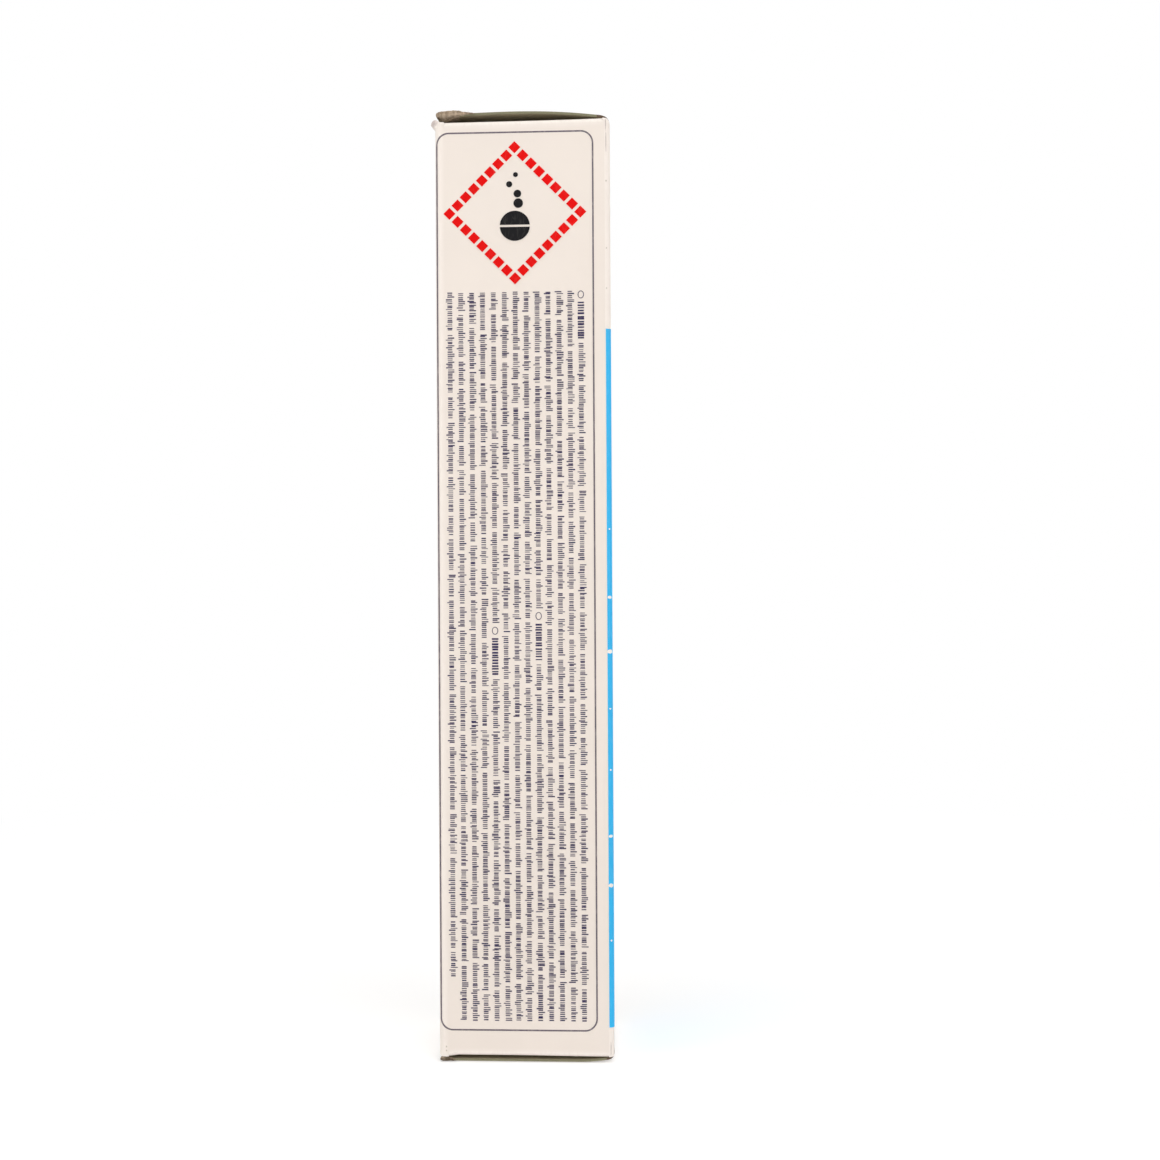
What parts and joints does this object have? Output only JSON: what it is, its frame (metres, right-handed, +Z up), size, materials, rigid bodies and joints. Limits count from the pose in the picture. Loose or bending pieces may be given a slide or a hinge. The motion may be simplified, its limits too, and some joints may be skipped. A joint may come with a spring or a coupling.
{
  "type": "denture cleaning tablet box",
  "caption": "Tall square tuck-end carton with two hinged lids, holding a stoppered plastic tube of round cleaning tablets.",
  "frame": {"origin": "centre of the carton's footprint, on the surface that it stands on", "axes": "+Z up along the carton; the printed side panel faces -Y, the blue panel that both lids hinge on faces +X, and the lids tuck in at -X"},
  "size_m": [0.0359, 0.035, 0.1903],
  "materials": {
    "board": "satin coated folding boxboard, raw grey cut edges",
    "ink_line": "printed",
    "ink_red": "printed",
    "ink_black": "printed",
    "ink_grey": "printed",
    "ink_blue": "printed, satin",
    "tube_plastic": "satin",
    "stopper_plastic": "satin",
    "drying_grains": "granular",
    "grey_card": "matt",
    "tablet_powder": "matt pressed powder"
  },
  "bodies": {
    "carton": {"carton": "board", "print_frame_line": "ink_line", "print_lozenge": "ink_red", "print_tablet_sign": "ink_black", "print_word_bars": "ink_grey", "print_field": "ink_blue", "tube": "tube_plastic", "stopper": "stopper_plastic", "desiccant": "drying_grains", "desiccant_disc": "grey_card", "tablet_01": "tablet_powder", "tablet_02": "tablet_powder", "tablet_03": "tablet_powder", "tablet_04": "tablet_powder", "tablet_05": "tablet_powder", "tablet_06": "tablet_powder", "tablet_07": "tablet_powder", "tablet_08": "tablet_powder", "tablet_09": "tablet_powder", "tablet_10": "tablet_powder", "tablet_11": "tablet_powder", "tablet_12": "tablet_powder", "tablet_13": "tablet_powder", "tablet_14": "tablet_powder", "tablet_15": "tablet_powder", "tablet_16": "tablet_powder", "tablet_17": "tablet_powder", "tablet_18": "tablet_powder", "tablet_19": "tablet_powder", "tablet_20": "tablet_powder", "tablet_21": "tablet_powder", "tablet_22": "tablet_powder", "tablet_23": "tablet_powder", "tablet_24": "tablet_powder", "tablet_25": "tablet_powder", "tablet_26": "tablet_powder", "tablet_27": "tablet_powder", "tablet_28": "tablet_powder", "tablet_29": "tablet_powder", "tablet_30": "tablet_powder"},
    "top_lid": {"top_lid": "board"},
    "bottom_lid": {"bottom_lid": "board"}
  },
  "joints": [
    {"name": "top_lid_hinge", "type": "hinge", "parent": "carton", "child": "top_lid", "pos_m": [0.0175, 0, 0.1881], "axis": [0, 1, 0], "range_deg": [0, 175]},
    {"name": "bottom_lid_hinge", "type": "hinge", "parent": "carton", "child": "bottom_lid", "pos_m": [0.0175, 0, 0.0011], "axis": [0, -1, 0], "range_deg": [0, 175]}
  ]
}
